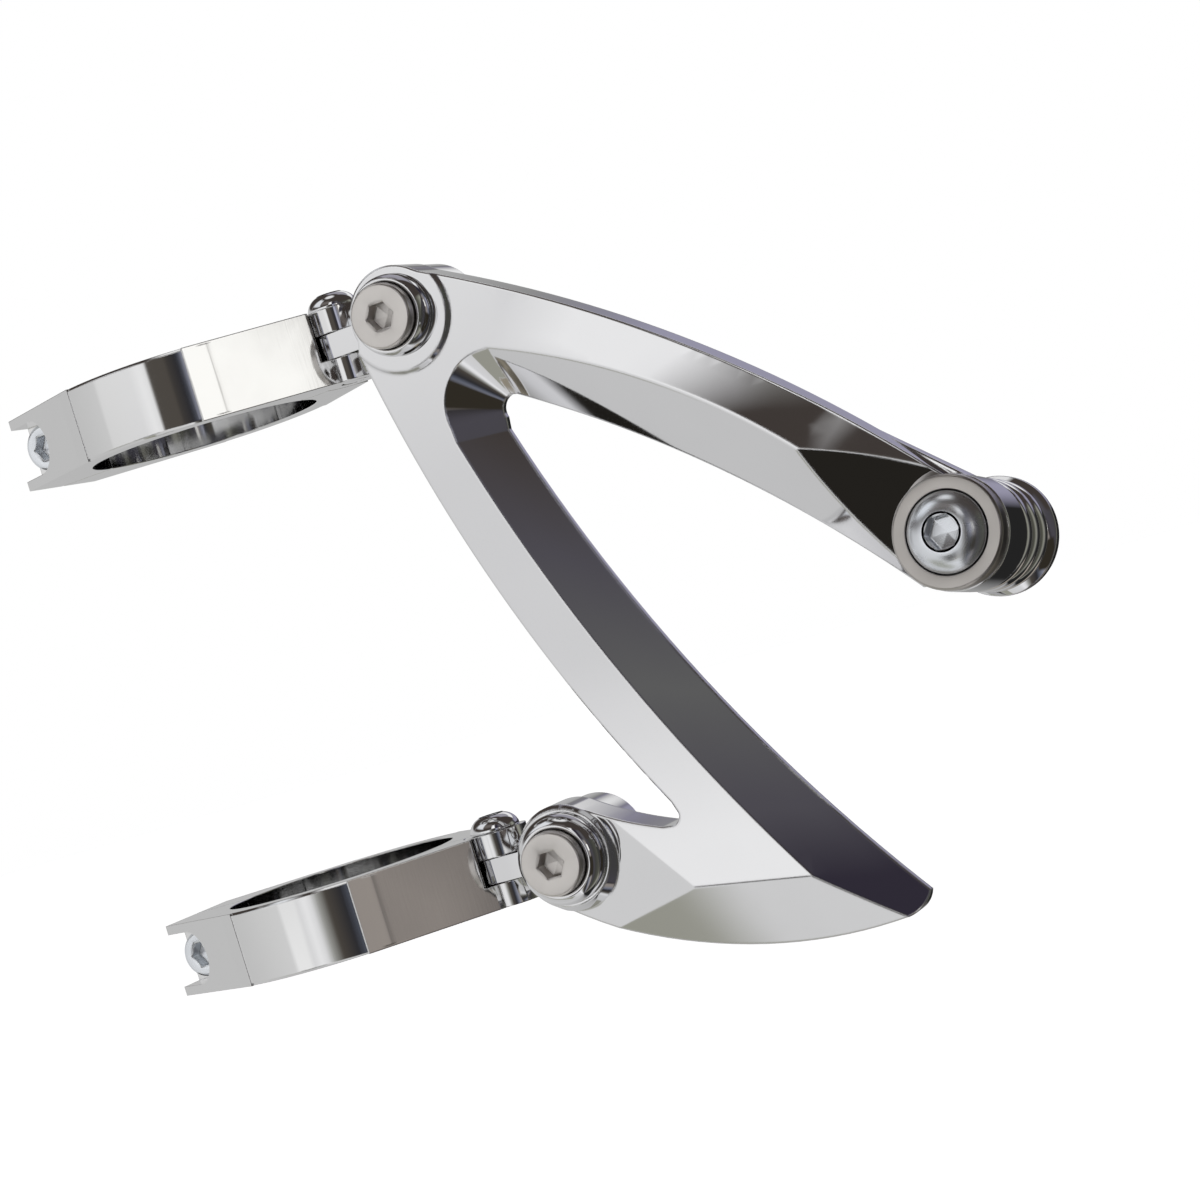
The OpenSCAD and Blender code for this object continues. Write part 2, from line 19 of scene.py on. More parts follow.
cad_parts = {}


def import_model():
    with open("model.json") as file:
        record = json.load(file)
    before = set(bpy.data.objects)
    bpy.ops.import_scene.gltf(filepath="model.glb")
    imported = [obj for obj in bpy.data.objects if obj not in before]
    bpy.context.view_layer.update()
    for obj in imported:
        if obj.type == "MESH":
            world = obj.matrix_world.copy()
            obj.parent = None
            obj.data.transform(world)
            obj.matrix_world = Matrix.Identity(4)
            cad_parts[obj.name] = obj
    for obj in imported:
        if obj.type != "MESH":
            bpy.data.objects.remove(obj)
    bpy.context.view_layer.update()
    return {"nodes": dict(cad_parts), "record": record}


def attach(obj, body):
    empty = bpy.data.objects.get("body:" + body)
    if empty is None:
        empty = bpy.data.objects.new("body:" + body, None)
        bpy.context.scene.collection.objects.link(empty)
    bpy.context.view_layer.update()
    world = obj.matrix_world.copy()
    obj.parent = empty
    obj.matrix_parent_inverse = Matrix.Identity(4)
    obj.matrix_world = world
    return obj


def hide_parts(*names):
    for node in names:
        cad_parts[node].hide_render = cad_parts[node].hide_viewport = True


LOG = logging.getLogger("scene")
MM = 0.001
Colour = tuple[float, float, float]


class Axis(Enum):
    """The axis that a turned piece is spun on."""

    CLAMP = "z"
    BOLT = "y"


class HeadForm(Enum):
    """The head of a screw."""

    BUTTON = "button"
    LOW = "low"
    KNURLED = "knurled"


@dataclass(frozen=True)
class Chrome:
    """Mirror plate over polished metal.

    Attributes:
        tint: Colour of the reflection.
        roughness: Base blur of the reflection.
        haze: How much the roughness wanders over the surface.
        ripple: Height in metres of the slow waves that polishing leaves.
        grain: Height in metres of the fine brushed lines, 0 for none.
        edge: Radius in metres of the softened edges.
        satin_back: Extra roughness of faces that look inboard, along +Y.
    """

    tint: Colour
    roughness: float
    haze: float
    ripple: float
    grain: float = 0.0
    edge: float = 0.2e-3
    satin_back: float = 0.0


@dataclass(frozen=True)
class Turned:
    """Satin steel with the rings that a lathe leaves.

    Attributes:
        tint: Colour of the metal.
        roughness: Blur of the reflection.
        ring_pitch: Distance in metres between two rings.
        ring_height: Height in metres of the rings.
    """

    tint: Colour
    roughness: float
    ring_pitch: float
    ring_height: float


@dataclass(frozen=True)
class Panel:
    """One light or dark card of the studio, as a patch of the surroundings.

    Attributes:
        azimuth: Direction of its middle in degrees, from +X towards +Y.
        elevation: Height of its middle above the horizon in degrees.
        half_width: Half of its width in degrees of azimuth.
        half_height: Half of its height in degrees of elevation.
        soft: Width in degrees of its faded edge.
        colour: Linear colour that metal sees there.
    """

    azimuth: float
    elevation: float
    half_width: float
    half_height: float
    soft: float
    colour: Colour


# The finishes, by the slot of the record that they belong to.
PLATES: dict[str, Chrome] = {
    "chrome_arm": Chrome(tint=(0.80, 0.80, 0.81), roughness=0.035, haze=0.03, ripple=4e-6, edge=0.7e-3,
                         satin_back=0.36),
    "chrome_clamp": Chrome(tint=(0.79, 0.79, 0.79), roughness=0.05, haze=0.05, ripple=3e-6, grain=1.0e-6,
                           edge=0.3e-3),
    "chrome_small": Chrome(tint=(0.79, 0.79, 0.80), roughness=0.03, haze=0.02, ripple=2e-6),
}
STEELS: dict[str, Turned] = {
    "satin_bolt": Turned(tint=(0.76, 0.73, 0.70), roughness=0.34, ring_pitch=0.35e-3, ring_height=4e-6),
    "satin_washer": Turned(tint=(0.53, 0.505, 0.48), roughness=0.30, ring_pitch=0.30e-3, ring_height=4e-6),
    "zinc": Turned(tint=(0.90, 0.93, 0.97), roughness=0.27, ring_pitch=0.4e-3, ring_height=2e-6),
}

# Sizes of the procedural detail, in waves a metre.
HAZE_WAVES = 90.0
RIPPLE_WAVES = 60.0
BRUSHED_WAVES = (2600.0, 2600.0, 120.0)
SPECKLE_WAVES = 2500.0
PATCH_WAVES = 160.0
# The middle of the haze's noise, the lowest roughness of plate, and how far that of turned steel wanders.
HAZE_MIDDLE = 0.45
CLEAREST = 0.01
PATCH_SPREAD = 0.03
# How much darker the tint gets in its dull patches, on plate and on turned steel.
DULL_PLATE = 0.95
DULL_STEEL = 0.88
# Radius in metres of the softened edges of turned steel.
TURNED_EDGE = 0.2 * MM
# Share of +Y in a face's direction from which it turns satin, and how fast it does.
BACK_FROM = 0.7
BACK_RISE = 5.0

# Corners of a CAD mesh that lie this close, in metres, are joined.
JOINED_WITHIN = 2e-6
# Edges sharper than this, in degrees, stay crisp: on a CAD node, and on a turned piece.
CRISP_NODE = 6.5
CRISP_TURNED = 32.0
# Rows of points in one turn of a thread, and teeth round a knurled head.
THREAD_ROWS = 8
KNURL_TEETH = 48
# Depth of the knurl and width of a socket's rounded mouth, in millimetres.
KNURL_DEPTH = 0.16
MOUTH = 0.35

# The horizon that the metal mirrors, as azimuth in degrees and colour. The stops were chosen so that the
# clamps' round bands turn light and dark where they should.
HORIZON: list[tuple[float, Colour]] = [
    (-180, (0.62, 0.62, 0.62)),
    (-150, (0.68, 0.68, 0.68)),
    (-124, (0.75, 0.75, 0.75)),
    (-104, (0.78, 0.78, 0.79)),
    (-95, (0.98, 0.98, 0.99)),
    (-90, (0.85, 0.85, 0.86)),
    (-84, (0.36, 0.36, 0.34)),
    (-77, (0.08, 0.07, 0.06)),
    (-64, (0.03, 0.03, 0.035)),
    (-60, (0.10, 0.11, 0.14)),
    (-53, (0.26, 0.27, 0.33)),
    (-44, (0.36, 0.325, 0.295)),
    (-38.6, (0.34, 0.305, 0.28)),
    (-36.6, (0.04, 0.037, 0.04)),
    (-33, (0.08, 0.075, 0.09)),
    (-15, (0.06, 0.06, 0.055)),
    (12, (0.10, 0.10, 0.08)),
    (30, (0.35, 0.35, 0.30)),
    (42, (0.08, 0.08, 0.08)),
    (56, (0.02, 0.02, 0.02)),
    (98, (0.02, 0.02, 0.02)),
    (112, (0.45, 0.45, 0.45)),
    (150, (0.66, 0.66, 0.66)),
    (180, (0.62, 0.62, 0.62)),
]

# The cards, each laid over the ones before it.
PANELS: list[Panel] = [
    # A soft bright band for the arm's outer face.
    Panel(-108, 14, 26, 7, 8, (1.0, 1.0, 1.0)),
    # A brown, a blue and a small white card just above the horizon, which only the upper clamp mirrors.
    Panel(-81, 6, 8, 7, 2.5, (0.09, 0.08, 0.07)),
    Panel(-58, 6, 3, 7, 2.5, (0.50, 0.51, 0.62)),
    Panel(-40.8, 6, 3.2, 6, 1.2, (1.25, 1.24, 1.20)),
    # The rounded end of the arm's slot is nearly black.
    Panel(-46, -28, 14, 18, 4, (0.035, 0.03, 0.022)),
    # A dark ceiling for the far half of the upper arm, with two lights in it for the bolt's dome, a brown
    # glow for the last stretch of the arm, and three greys for the strut's bevel, darkest at its foot.
    Panel(0, 56, 180, 34, 6, (0.06, 0.05, 0.045)),
    Panel(-150, 52, 24, 16, 8, (0.86, 0.88, 0.91)),
    Panel(-68, 39, 10, 10, 5, (1.2, 1.2, 1.2)),
    Panel(-100, 50, 26, 9, 10, (0.17, 0.15, 0.14)),
    Panel(-45, 33, 16, 12, 5, (0.09, 0.085, 0.10)),
    Panel(-37.5, 30, 3, 12, 6, (0.13, 0.13, 0.13)),
    Panel(-53, 34, 7, 12, 4, (0.035, 0.03, 0.045)),
    # Low cards: a white one for the lug's face, a black one with an olive rim for the sweep, and a grey one
    # for the lug's bevel.
    Panel(-110, -7.5, 7, 4.5, 4, (1.0, 1.0, 1.0)),
    Panel(-106, -28, 12, 15, 3, (0.02, 0.018, 0.015)),
    Panel(-95, -40, 5, 6, 5, (0.40, 0.36, 0.28)),
    Panel(-144.2, -48, 15.5, 22, 1.4, (0.36, 0.36, 0.31)),
    # Lilac, white and lilac again above the spacer rings, and beige below them.
    Panel(78, 15, 26, 8, 6, (0.34, 0.33, 0.43)),
    Panel(86, 32, 24, 8, 4, (1.0, 1.0, 1.0)),
    Panel(90, 52, 30, 12, 8, (0.38, 0.37, 0.42)),
    Panel(88, -38, 24, 7, 6, (0.42, 0.38, 0.33)),
    # Light straight above.
    Panel(0, 88, 180, 10, 6, (0.9, 0.9, 0.9)),
]


class Nodes:
    """A short way to write a node tree."""

    def __init__(self, tree: bpy.types.NodeTree) -> None:
        """Empties the tree."""
        self.tree = tree
        tree.nodes.clear()

    def add(self, kind: str, **settings: object) -> bpy.types.Node:
        """Adds a node.

        Args:
            kind: Blender's name of the node, without its ShaderNode prefix.
            **settings: Properties of the node.

        Returns:
            The new node.
        """
        node = self.tree.nodes.new("ShaderNode" + kind)
        for name, value in settings.items():
            setattr(node, name, value)
        return node

    def wire(self, source: bpy.types.NodeSocket | float | tuple, target: bpy.types.NodeSocket) -> None:
        """Joins two sockets, or sets the target where the source is a plain value.

        Args:
            source: An output of a node, or a number or colour.
            target: An input of a node.
        """
        if isinstance(source, bpy.types.NodeSocket):
            self.tree.links.new(source, target)
        else:
            target.default_value = source

    def math(self, operation: str, a: object, b: object = 0.0, clamp: bool = False) -> bpy.types.NodeSocket:
        """A sum or other formula of one or two numbers.

        Args:
            operation: Blender's name of the formula.
            a: First number, or the socket that gives it.
            b: Second number, or its socket.
            clamp: Whether the result is kept between 0 and 1.

        Returns:
            The result's socket.
        """
        node = self.add("Math", operation=operation, use_clamp=clamp)
        self.wire(a, node.inputs[0])
        self.wire(b, node.inputs[1])
        return node.outputs[0]

    def mix(self, share: object, a: object, b: object) -> bpy.types.NodeSocket:
        """Colour a blended towards colour b.

        Args:
            share: Share of b, from 0 to 1, or its socket.
            a: First colour or its socket.
            b: Second colour or its socket.

        Returns:
            The blend's socket.
        """
        node = self.add("Mix", data_type="RGBA")
        self.wire(share, node.inputs[0])
        self.wire(a, node.inputs[6])
        self.wire(b, node.inputs[7])
        return node.outputs[2]

    def ramp(self, position: bpy.types.NodeSocket, stops: list[tuple[float, Colour]],
             low: float, high: float) -> bpy.types.NodeSocket:
        """A colour read off a list of stops.

        Args:
            position: Where it is read, from 0 at the place low to 1 at the place high.
            stops: Place and colour of each stop.
            low: Place of the ramp's left end.
            high: Place of its right end.

        Returns:
            The colour's socket.
        """
        node = self.add("ValToRGB")
        elements = node.color_ramp.elements
        for index, (place, colour) in enumerate(stops):
            at = (place - low) / (high - low)
            element = elements[index] if index < 2 else elements.new(at)
            element.position = at
            element.color = (*colour, 1.0)
        self.wire(position, node.inputs[0])
        return node.outputs[0]

    def noise(self, place: bpy.types.NodeSocket, scale: float, detail: float = 2.0) -> bpy.types.NodeSocket:
        """Soft noise between 0 and 1.

        Args:
            place: The position that it is read at.
            scale: Waves in a metre.
            detail: Octaves of finer waves.

        Returns:
            The noise's value.
        """
        node = self.add("TexNoise")
        node.inputs["Scale"].default_value = scale
        node.inputs["Detail"].default_value = detail
        self.wire(place, node.inputs["Vector"])
        return node.outputs[0]

    def relief(self, height: bpy.types.NodeSocket, distance: float, edge: float,
               samples: int) -> bpy.types.NodeSocket:
        """The surface's direction, with softened edges and small relief.

        Args:
            height: Relief, in units of distance.
            distance: Metres that a height of 1 stands for.
            edge: Radius in metres of the softened edges.
            samples: Rays that look for an edge.

        Returns:
            The direction for a shader.
        """
        bevel = self.add("Bevel", samples=samples)
        bevel.inputs["Radius"].default_value = edge
        bump = self.add("Bump")
        bump.inputs["Strength"].default_value = 1.0
        bump.inputs["Distance"].default_value = distance
        self.wire(height, bump.inputs["Height"])
        self.wire(bevel.outputs[0], bump.inputs["Normal"])
        return bump.outputs[0]

    def metal(self, tone: bpy.types.NodeSocket, roughness: bpy.types.NodeSocket,
              direction: bpy.types.NodeSocket) -> None:
        """Ends the tree in bare metal.

        Args:
            tone: Its colour.
            roughness: Blur of its reflection.
            direction: Direction of its surface.
        """
        shader = self.add("BsdfPrincipled")
        shader.inputs["Metallic"].default_value = 1.0
        self.wire(tone, shader.inputs["Base Color"])
        self.wire(roughness, shader.inputs["Roughness"])
        self.wire(direction, shader.inputs["Normal"])
        self.wire(shader.outputs[0], self.add("OutputMaterial").inputs[0])


def rgba(colour: Colour, share: float = 1.0) -> tuple[float, float, float, float]:
    """The colour, darkened to a share of itself, with full opacity."""
    return (*(share * c for c in colour), 1.0)


def new_material(name: str) -> tuple[bpy.types.Material, Nodes]:
    """An empty material.

    Args:
        name: Its name.

    Returns:
        The material and its node tree.
    """
    material = bpy.data.materials.new(name)
    material.use_nodes = True
    return material, Nodes(material.node_tree)


def chrome_material(name: str, finish: Chrome) -> bpy.types.Material:
    """Mirror plate: wandering haze, slow polishing ripples and, where asked, brushed lines and a satin back.

    Args:
        name: Name of the material.
        finish: Its sizes and tint.

    Returns:
        The material.
    """
    material, nodes = new_material(name)
    coordinates = nodes.add("TexCoord")
    place = coordinates.outputs["Object"]
    cloud = nodes.noise(place, HAZE_WAVES, 4.0)
    spread = nodes.math("MULTIPLY", nodes.math("SUBTRACT", cloud, HAZE_MIDDLE), 2 * finish.haze)
    roughness = nodes.math("MAXIMUM", nodes.math("ADD", spread, finish.roughness), CLEAREST)
    if finish.satin_back > 0:
        facing = nodes.add("SeparateXYZ")
        nodes.wire(coordinates.outputs["Normal"], facing.inputs[0])
        inboard = nodes.math("SUBTRACT", facing.outputs[1], BACK_FROM)
        back = nodes.math("MULTIPLY", inboard, BACK_RISE, clamp=True)
        roughness = nodes.math("ADD", roughness, nodes.math("MULTIPLY", back, finish.satin_back))
    tone = nodes.mix(nodes.math("MULTIPLY", cloud, 0.5), rgba(finish.tint), rgba(finish.tint, DULL_PLATE))
    height = nodes.math("MULTIPLY", nodes.noise(place, RIPPLE_WAVES, 1.0), finish.ripple / MM)
    if finish.grain > 0:
        stretch = nodes.add("Mapping")
        stretch.inputs["Scale"].default_value = BRUSHED_WAVES
        nodes.wire(place, stretch.inputs["Vector"])
        lines = nodes.noise(stretch.outputs[0], 1.0, 3.0)
        height = nodes.math("ADD", height, nodes.math("MULTIPLY", lines, finish.grain / MM))
    nodes.metal(tone, roughness, nodes.relief(height, MM, finish.edge, 8))
    return material


def turned_material(name: str, finish: Turned, spindle: "Spindle") -> bpy.types.Material:
    """Satin steel with lathe rings round a bolt's axis.

    The rings are a sine of the distance from the axis, with fine speckle over them.

    Args:
        name: Name of the material.
        finish: Its sizes and tint.
        spindle: The lathe's axis.

    Returns:
        The material.
    """
    material, nodes = new_material(name)
    place = nodes.add("TexCoord").outputs["Object"]
    shift = nodes.add("Mapping", vector_type="TEXTURE")
    shift.inputs["Location"].default_value = tuple(c * MM for c in spindle.origin)
    shift.inputs["Rotation"].default_value = (-math.radians(spindle.tilt), 0.0, 0.0)
    nodes.wire(place, shift.inputs["Vector"])
    parts = nodes.add("SeparateXYZ")
    nodes.wire(shift.outputs[0], parts.inputs[0])
    squares = nodes.math("ADD", nodes.math("MULTIPLY", parts.outputs[0], parts.outputs[0]),
                         nodes.math("MULTIPLY", parts.outputs[2], parts.outputs[2]))
    radius = nodes.math("SQRT", squares)
    rings = nodes.math("SINE", nodes.math("MULTIPLY", radius, 2 * math.pi / finish.ring_pitch))
    speckle = nodes.noise(place, SPECKLE_WAVES, 3.0)
    height = nodes.math("ADD", nodes.math("MULTIPLY", rings, 0.5), nodes.math("MULTIPLY", speckle, 0.8))
    patch = nodes.noise(place, PATCH_WAVES)
    tone = nodes.mix(patch, rgba(finish.tint), rgba(finish.tint, DULL_STEEL))
    roughness = nodes.math("ADD", nodes.math("MULTIPLY", patch, 2 * PATCH_SPREAD),
                           finish.roughness - PATCH_SPREAD)
    nodes.metal(tone, roughness, nodes.relief(height, finish.ring_height, TURNED_EDGE, 6))
    return material


def smoothing_group(name: str, angle: float) -> bpy.types.NodeTree:
    """Geometry nodes that join a mesh's doubled corners and shade it smooth between its crisp edges.

    Args:
        name: Name of the node group.
        angle: Edges sharper than this, in degrees, stay crisp.

    Returns:
        The node group.
    """
    group = bpy.data.node_groups.new(name, "GeometryNodeTree")
    group.interface.new_socket("Geometry", in_out="INPUT", socket_type="NodeSocketGeometry")
    group.interface.new_socket("Geometry", in_out="OUTPUT", socket_type="NodeSocketGeometry")
    nodes, links = group.nodes, group.links
    entry, leave = nodes.new("NodeGroupInput"), nodes.new("NodeGroupOutput")
    merge = nodes.new("GeometryNodeMergeByDistance")
    merge.inputs["Distance"].default_value = JOINED_WITHIN
    plain = nodes.new("GeometryNodeRemoveAttribute")
    plain.inputs["Name"].default_value = "custom_normal"
    smooth = nodes.new("GeometryNodeSetShadeSmooth")
    smooth.domain = "FACE"
    crisp = nodes.new("GeometryNodeSetShadeSmooth")
    crisp.domain = "EDGE"
    crisp.inputs["Shade Smooth"].default_value = False
    edge = nodes.new("GeometryNodeInputMeshEdgeAngle")
    sharp = nodes.new("FunctionNodeCompare")
    sharp.operation = "GREATER_THAN"
    sharp.inputs[1].default_value = math.radians(angle)
    links.new(entry.outputs[0], merge.inputs["Geometry"])
    links.new(merge.outputs[0], plain.inputs["Geometry"])
    links.new(plain.outputs[0], smooth.inputs["Geometry"])
    links.new(smooth.outputs[0], crisp.inputs["Geometry"])
    links.new(edge.outputs["Unsigned Angle"], sharp.inputs[0])
    links.new(sharp.outputs[0], crisp.inputs["Selection"])
    links.new(crisp.outputs[0], leave.inputs[0])
    return group


def direction_angles(nodes: Nodes) -> tuple[bpy.types.NodeSocket, bpy.types.NodeSocket]:
    """The direction that a ray looks in.

    Args:
        nodes: The world's nodes.

    Returns:
        Its azimuth and its elevation, in degrees.
    """
    parts = nodes.add("SeparateXYZ")
    nodes.wire(nodes.add("TexCoord").outputs["Generated"], parts.inputs[0])
    azimuth = nodes.math("DEGREES", nodes.math("ARCTAN2", parts.outputs[1], parts.outputs[0]))
    elevation = nodes.math("DEGREES", nodes.math("ARCSINE", parts.outputs[2]))
    return azimuth, elevation


def panel_share(nodes: Nodes, azimuth: bpy.types.NodeSocket, elevation: bpy.types.NodeSocket,
                panel: Panel) -> bpy.types.NodeSocket:
    """How far inside a panel a direction lies.

    It is the distance to the panel's nearest edge over the width of its faded edge, plus a half.

    Args:
        nodes: The world's nodes.
        azimuth: The direction's azimuth.
        elevation: The direction's elevation.
        panel: The panel.

    Returns:
        A share from 0 outside to 1 inside.
    """
    turn = nodes.math("WRAP", nodes.math("SUBTRACT", azimuth, panel.azimuth), 180.0)
    turn.node.inputs[2].default_value = -180.0
    across = nodes.math("SUBTRACT", panel.half_width, nodes.math("ABSOLUTE", turn))
    up = nodes.math("SUBTRACT", panel.half_height,
                    nodes.math("ABSOLUTE", nodes.math("SUBTRACT", elevation, panel.elevation)))
    inside = nodes.math("MINIMUM", across, up)
    return nodes.math("ADD", nodes.math("DIVIDE", inside, panel.soft), 0.5, clamp=True)


def build_world() -> None:
    """The studio: plain white to the camera, and light and dark cards for the metal to mirror."""
    world = bpy.data.worlds.new("studio")
    bpy.context.scene.world = world
    world.use_nodes = True
    nodes = Nodes(world.node_tree)
    azimuth, elevation = direction_angles(nodes)
    share = nodes.math("DIVIDE", nodes.math("ADD", azimuth, 180.0), 360.0)
    colour = nodes.ramp(share, HORIZON, -180.0, 180.0)
    for panel in PANELS:
        colour = nodes.mix(panel_share(nodes, azimuth, elevation, panel), colour, rgba(panel.colour))
    seen = nodes.add("Background")
    nodes.wire(colour, seen.inputs[0])
    white = nodes.add("Background")
    white.inputs[0].default_value = (1.0, 1.0, 1.0, 1.0)
    chooser = nodes.add("MixShader")
    nodes.wire(nodes.add("LightPath").outputs["Is Camera Ray"], chooser.inputs[0])
    nodes.wire(seen.outputs[0], chooser.inputs[1])
    nodes.wire(white.outputs[0], chooser.inputs[2])
    nodes.wire(chooser.outputs[0], nodes.add("OutputWorld").inputs[0])
    LOG.info("world with %d horizon stops and %d panels", len(HORIZON), len(PANELS))


@dataclass
class ViewPoint:
    """The camera at the photograph's viewing angle: level, turned round +Z, and rolled on its own axis.

    Attributes:
        place: Where the lens stands.
        azimuth: Turn of the view from +Y, towards -X, in degrees.
        roll: Turn of the picture on the lens's axis, in degrees.
        lens: Focal length in millimetres.
        sensor: Width of its frame in millimetres.
    """

    place: tuple[float, float, float] = (0.3221, -0.5482, -0.0656)
    azimuth: float = 24.2
    roll: float = 17.3
    lens: float = 90.0
    sensor: float = 36.0

    def build(self) -> bpy.types.Object:
        """Makes the camera and hands it to the scene.

        Returns:
            The camera.
        """
        a, b = math.radians(self.azimuth), math.radians(self.roll)
        right = Vector((math.cos(a), math.sin(a), 0.0))
        up = Vector((0.0, 0.0, 1.0))
        ahead = Vector((-math.sin(a), math.cos(a), 0.0))
        across = math.cos(b) * right - math.sin(b) * up
        above = math.sin(b) * right + math.cos(b) * up
        data = bpy.data.cameras.new("camera")
        data.lens = self.lens
        data.sensor_width = self.sensor
        data.clip_start, data.clip_end = 0.01, 50.0
        camera = bpy.data.objects.new("camera", data)
        bpy.context.scene.collection.objects.link(camera)
        turn = Matrix((across, above, -ahead)).transposed().to_4x4()
        camera.matrix_world = Matrix.Translation(Vector(self.place)) @ turn
        bpy.context.scene.camera = camera
        LOG.info("camera at %s, lens %.0f mm", self.place, self.lens)
        return camera


@dataclass(frozen=True)
class Spindle:
    """Where a turned piece stands.

    Attributes:
        origin: Point of its axis at height 0, in millimetres.
        axis: Direction of growing height.
        tilt: Dip of the far end of a +Y axis, in degrees.
    """

    origin: tuple[float, float, float]
    axis: Axis = Axis.BOLT
    tilt: float = 0.0

    def place(self, radius: np.ndarray, angle: np.ndarray, height: np.ndarray) -> np.ndarray:
        """Turns cylinder coordinates into points.

        A point lies radius times the cosine and sine of its angle beside the axis, and height along it.
        A tilted axis is the +Y axis turned round X.

        Args:
            radius: Distances from the axis, in millimetres.
            angle: Angles round the axis, in radians.
            height: Heights along the axis, in millimetres.

        Returns:
            Points in metres, one row each.
        """
        side, rise = radius * np.cos(angle), radius * np.sin(angle)
        if self.axis is Axis.CLAMP:
            local = np.stack([side, rise, height], axis=-1)
        else:
            dip = math.radians(self.tilt)
            y = height * math.cos(dip) + rise * math.sin(dip)
            z = rise * math.cos(dip) - height * math.sin(dip)
            local = np.stack([side, y, z], axis=-1)
        return (local + np.array(self.origin)).reshape(-1, 3) * MM


def rounded(corners: list[tuple[float, float]], radius: float = 0.15, steps: int = 4) -> np.ndarray:
    """An outline with each inner corner cut to a short curve.

    The curve is the quadratic one through the two points that lie radius before and after the corner,
    with the corner as its handle.

    Args:
        corners: Radius and height of each corner, in millimetres.
        radius: How far from the corner the curve begins.
        steps: Points of each curve.

    Returns:
        Radius and height of each point.
    """
    points = np.array(corners, dtype=float)
    t = np.linspace(0.0, 1.0, steps + 1)[:, None]
    out = [points[:1]]
    for before, corner, after in zip(points, points[1:], points[2:]):
        back, ahead = before - corner, after - corner
        cut = min(radius, 0.45 * np.linalg.norm(back), 0.45 * np.linalg.norm(ahead))
        start = corner + back / np.linalg.norm(back) * cut
        stop = corner + ahead / np.linalg.norm(ahead) * cut
        out.append((1 - t) ** 2 * start + 2 * t * (1 - t) * corner + t ** 2 * stop)
    out.append(points[-1:])
    return np.concatenate(out)


def dome_line(start: tuple[float, float], middle: tuple[float, float], end: tuple[float, float],
              steps: int = 14) -> list[tuple[float, float]]:
    """Points of the circle through three points of an outline, from the first to the last.

    The centre is where the perpendicular bisectors of the two chords meet.

    Args:
        start: Radius and height of the first point.
        middle: Radius and height of a point between.
        end: Radius and height of the last point.
        steps: Number of stretches.

    Returns:
        The points, with both ends.
    """
    p, q, r = (np.array(v, dtype=float) for v in (start, middle, end))
    matrix = 2.0 * np.array([q - p, r - p])
    centre = np.linalg.solve(matrix, np.array([q @ q - p @ p, r @ r - p @ p]))
    first, last = (math.atan2(*(v - centre)[::-1]) for v in (p, r))
    through = math.atan2(*(q - centre)[::-1])
    sweep = (last - first + math.pi) % (2 * math.pi) - math.pi
    if (through - first) * sweep < 0:
        sweep -= math.copysign(2 * math.pi, sweep)
    angles = first + sweep * np.linspace(0.0, 1.0, steps + 1)
    ring = centre + np.linalg.norm(p - centre) * np.stack([np.cos(angles), np.sin(angles)], axis=1)
    return [tuple(point) for point in ring]


